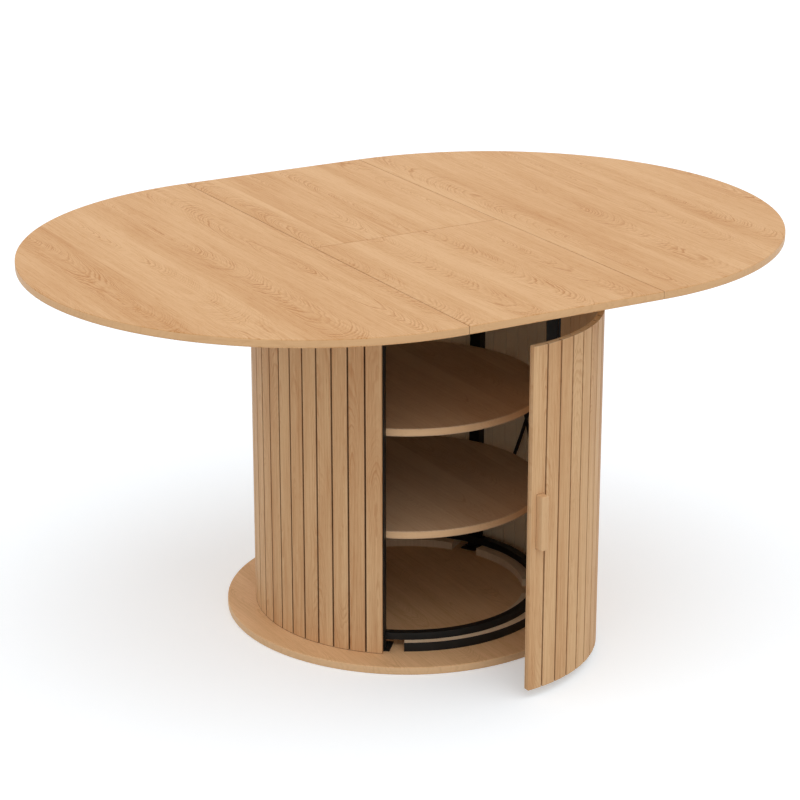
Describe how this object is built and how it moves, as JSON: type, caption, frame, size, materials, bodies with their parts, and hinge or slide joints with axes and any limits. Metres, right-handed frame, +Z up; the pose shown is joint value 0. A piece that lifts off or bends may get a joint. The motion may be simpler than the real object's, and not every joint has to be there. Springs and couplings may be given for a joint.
{
  "type": "kitchen table with storage cabinet",
  "caption": "Round-ended extending kitchen table on a slatted drum pedestal that opens with a curved door onto round storage shelves.",
  "frame": {"origin": "middle of the round base on the floor", "axes": "+Z up; X is the way the top extends; the doorway of the drum faces -Y"},
  "size_m": [1.4999, 1.1, 0.75],
  "materials": {
    "top_oak": "satin",
    "slat_oak": "satin",
    "backing_board": "satin",
    "base_oak": "satin",
    "shelf_oak": "satin",
    "handle_oak": "satin",
    "batten_wood": "matte",
    "black_steel": "satin",
    "rail_metal": "satin",
    "hardware_steel": "brushed",
    "black_plastic": "matte"
  },
  "bodies": {
    "pedestal": {"base_plate": "base_oak", "bottom_ring": "black_steel", "cross_brace_back_left": "black_steel", "cross_brace_back_right": "black_steel", "cross_brace_left": "black_steel", "cross_brace_right": "black_steel", "drum_cap": "base_oak", "foot_plates": "black_steel", "glide_strip_back": "batten_wood", "glide_strip_front": "batten_wood", "head_plates": "black_steel", "hinge_leaves_fixed": "black_steel", "hinge_pins": "black_steel", "magnet_catch": "black_plastic", "plinth_back_left": "base_oak", "plinth_back_right": "base_oak", "plinth_front": "base_oak", "plinth_left": "base_oak", "plinth_right": "base_oak", "post_back": "black_steel", "post_back_left": "black_steel", "post_back_right": "black_steel", "post_hinge": "black_steel", "post_latch": "black_steel", "shelf_brackets_middle": "black_steel", "shelf_brackets_upper": "black_steel", "shelf_middle": "shelf_oak", "shelf_screws_middle": "hardware_steel", "shelf_screws_upper": "hardware_steel", "shelf_upper": "shelf_oak", "threshold_strip": "black_steel", "top_ring": "black_steel", "track_back": "rail_metal", "track_front": "rail_metal", "track_screws": "hardware_steel", "wall_backing_back_left": "backing_board", "wall_backing_back_right": "backing_board", "wall_backing_left": "backing_board", "wall_backing_right": "backing_board", "wall_slats_back_left": "slat_oak", "wall_slats_back_right": "slat_oak", "wall_slats_left": "slat_oak", "wall_slats_right": "slat_oak"},
    "door": {"door_backing": "backing_board", "door_slats": "slat_oak", "door_handle": "handle_oak", "handle_screws": "hardware_steel", "hinge_leaves_door": "black_steel", "catch_plate": "hardware_steel"},
    "top_left_half": {"top_left": "top_oak", "slide_bars_left": "rail_metal", "bearers_left": "batten_wood"},
    "top_right_half": {"top_right": "top_oak", "slide_bars_right": "rail_metal", "bearers_right": "batten_wood"},
    "leaf_back_board": {"leaf_back": "top_oak", "leaf_hinges_back": "hardware_steel"},
    "leaf_front_board": {"leaf_front": "top_oak", "leaf_hinges_front": "hardware_steel"}
  },
  "joints": [
    {"name": "door_hinge", "type": "hinge", "parent": "pedestal", "child": "door", "pos_m": [0.25237, -0.17127, 0], "axis": [0, 0, 1], "range_deg": [-40.6, 54.4]},
    {"name": "top_left_slide", "type": "slide", "parent": "pedestal", "child": "top_left_half", "axis": [-1, 0, 0], "range_m": [0, 0.02]},
    {"name": "top_right_slide", "type": "slide", "parent": "pedestal", "child": "top_right_half", "axis": [1, 0, 0], "range_m": [0, 0.02]},
    {"name": "leaf_lift", "type": "slide", "parent": "pedestal", "child": "leaf_back_board", "axis": [0, 0, 1], "range_m": [0, 0.2]},
    {"name": "leaf_fold", "type": "hinge", "parent": "leaf_back_board", "child": "leaf_front_board", "pos_m": [0, 0, 0.7503], "axis": [-1, 0, 0], "range_deg": [0, 180]}
  ],
  "couplings": [
    {"joint": "top_right_slide", "follows": "top_left_slide", "ratio": 1}
  ]
}
